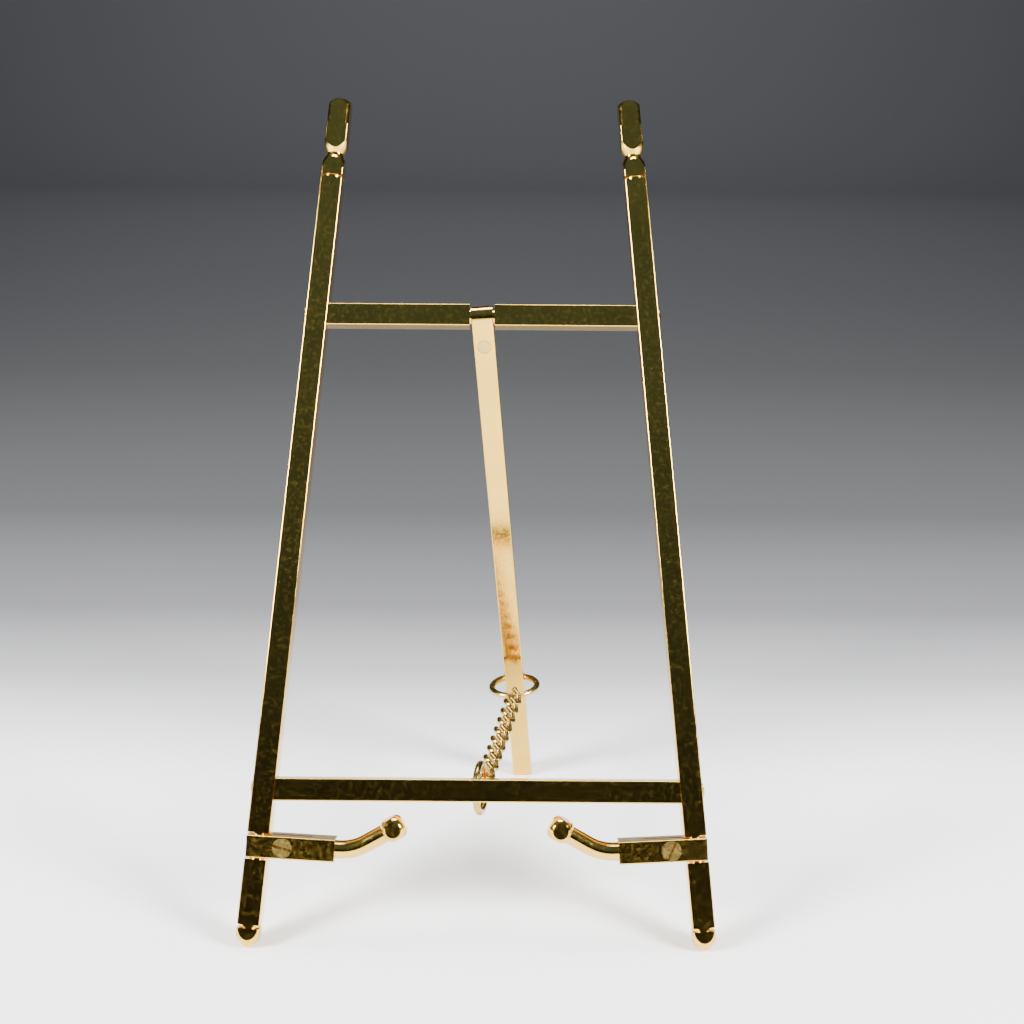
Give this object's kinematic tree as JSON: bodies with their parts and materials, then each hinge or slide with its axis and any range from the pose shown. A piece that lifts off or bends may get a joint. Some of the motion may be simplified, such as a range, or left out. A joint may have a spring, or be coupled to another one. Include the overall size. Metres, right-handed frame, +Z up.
{
  "type": "book display stand",
  "caption": "Folding tabletop display stand of square brass bar with a hinged rear leg, swivelling book hooks and a chain stay",
  "frame": {"origin": "middle of the stand's footprint, on the surface it stands on", "axes": "+X to the right seen from the front, +Y to the back, +Z up"},
  "size_m": [0.135, 0.108, 0.2272],
  "materials": {
    "bar_brass": "polished",
    "screw_brass": "polished",
    "chain_brass": "polished"
  },
  "bodies": {
    "frame": {"left_leg": "bar_brass", "right_leg": "bar_brass", "top_crossbar": "bar_brass", "bottom_crossbar": "bar_brass", "top_left_end_screw": "screw_brass", "top_right_end_screw": "screw_brass", "bottom_left_end_screw": "screw_brass", "bottom_right_end_screw": "screw_brass", "lower_ring": "chain_brass"},
    "rear_leg": {"rear_leg": "bar_brass", "rear_leg_screw": "screw_brass"},
    "left_hook": {"left_hook": "bar_brass", "left_hook_screw": "screw_brass"},
    "right_hook": {"right_hook": "bar_brass", "right_hook_screw": "screw_brass"},
    "upper_ring": {"upper_ring": "chain_brass"},
    "chain_link_1": {"chain_link_1": "chain_brass"},
    "chain_link_2": {"chain_link_2": "chain_brass"},
    "chain_link_3": {"chain_link_3": "chain_brass"},
    "chain_link_4": {"chain_link_4": "chain_brass"},
    "chain_link_5": {"chain_link_5": "chain_brass"},
    "chain_link_6": {"chain_link_6": "chain_brass"},
    "chain_link_7": {"chain_link_7": "chain_brass"},
    "chain_link_8": {"chain_link_8": "chain_brass"},
    "chain_link_9": {"chain_link_9": "chain_brass"}
  },
  "joints": [
    {"name": "rear_leg_fold", "type": "hinge", "parent": "frame", "child": "rear_leg", "pos_m": [0, 0.02175, 0.16619], "axis": [-1, 0, 0], "range_deg": [0, 22], "deforming": ["chain_link_1", "chain_link_2", "chain_link_3", "chain_link_4", "chain_link_5", "chain_link_6", "chain_link_7", "chain_link_8", "chain_link_9"]},
    {"name": "upper_ring_swing", "type": "hinge", "parent": "rear_leg", "child": "upper_ring", "pos_m": [0.01046, 0.04408, 0.03957], "axis": [0.9967, -0.0141, 0.0798], "range_deg": [-0.5, 57.5]},
    {"name": "chain_link_1_swing", "type": "hinge", "parent": "upper_ring", "child": "chain_link_1", "pos_m": [0.01046, 0.02948, 0.03957], "axis": [0.9951, -0.0652, -0.074], "range_deg": [-0.5, 46.69]},
    {"name": "chain_link_2_swing", "type": "hinge", "parent": "chain_link_1", "child": "chain_link_2", "pos_m": [0.00949, 0.02368, 0.03909], "axis": [1, 0, 0], "range_deg": [-0.5, 1.25]},
    {"name": "chain_link_3_swing", "type": "hinge", "parent": "chain_link_2", "child": "chain_link_3", "pos_m": [0.00852, 0.01779, 0.03869], "axis": [1, 0, 0], "range_deg": [-4.25, 0.5]},
    {"name": "chain_link_4_swing", "type": "hinge", "parent": "chain_link_3", "child": "chain_link_4", "pos_m": [0.00754, 0.01188, 0.03836], "axis": [1, 0, 0], "range_deg": [-20.45, 0.5]},
    {"name": "chain_link_5_swing", "type": "hinge", "parent": "chain_link_4", "child": "chain_link_5", "pos_m": [0.00656, 0.00598, 0.0381], "axis": [1, 0, 0], "range_deg": [-64.53, 0.5]},
    {"name": "chain_link_6_swing", "type": "hinge", "parent": "chain_link_5", "child": "chain_link_6", "pos_m": [0.00558, 0.00007, 0.03793], "axis": [1, 0, 0], "range_deg": [-64.53, 0.5]},
    {"name": "chain_link_7_swing", "type": "hinge", "parent": "chain_link_6", "child": "chain_link_7", "pos_m": [0.0046, -0.00584, 0.03783], "axis": [1, 0, 0], "range_deg": [-20.45, 0.5]},
    {"name": "chain_link_8_swing", "type": "hinge", "parent": "chain_link_7", "child": "chain_link_8", "pos_m": [0.00362, -0.01175, 0.03781], "axis": [1, 0, 0], "range_deg": [-4.25, 0.5]},
    {"name": "chain_link_9_swing", "type": "hinge", "parent": "chain_link_8", "child": "chain_link_9", "pos_m": [0.00264, -0.01766, 0.03787], "axis": [1, 0, 0], "range_deg": [-0.5, 1.25]},
    {"name": "left_hook_swivel", "type": "hinge", "parent": "frame", "child": "left_hook", "pos_m": [-0.06205, -0.04056, 0.02623], "axis": [0.0872, 0.4052, 0.9101], "continuous": true},
    {"name": "right_hook_swivel", "type": "hinge", "parent": "frame", "child": "right_hook", "pos_m": [0.06205, -0.04056, 0.02623], "axis": [-0.0872, 0.4052, 0.9101], "continuous": true}
  ],
  "couplings": [
    {"joint": "upper_ring_swing", "follows": "rear_leg_fold", "ratio": 2.5909},
    {"joint": "chain_link_1_swing", "follows": "rear_leg_fold", "ratio": 2.0996},
    {"joint": "chain_link_2_swing", "follows": "rear_leg_fold", "ratio": 0.03409},
    {"joint": "chain_link_3_swing", "follows": "rear_leg_fold", "ratio": -0.17041},
    {"joint": "chain_link_4_swing", "follows": "rear_leg_fold", "ratio": -0.90659},
    {"joint": "chain_link_5_swing", "follows": "rear_leg_fold", "ratio": -2.9107},
    {"joint": "chain_link_6_swing", "follows": "rear_leg_fold", "ratio": -2.9107},
    {"joint": "chain_link_7_swing", "follows": "rear_leg_fold", "ratio": -0.90659},
    {"joint": "chain_link_8_swing", "follows": "rear_leg_fold", "ratio": -0.17041},
    {"joint": "chain_link_9_swing", "follows": "rear_leg_fold", "ratio": 0.03409}
  ]
}
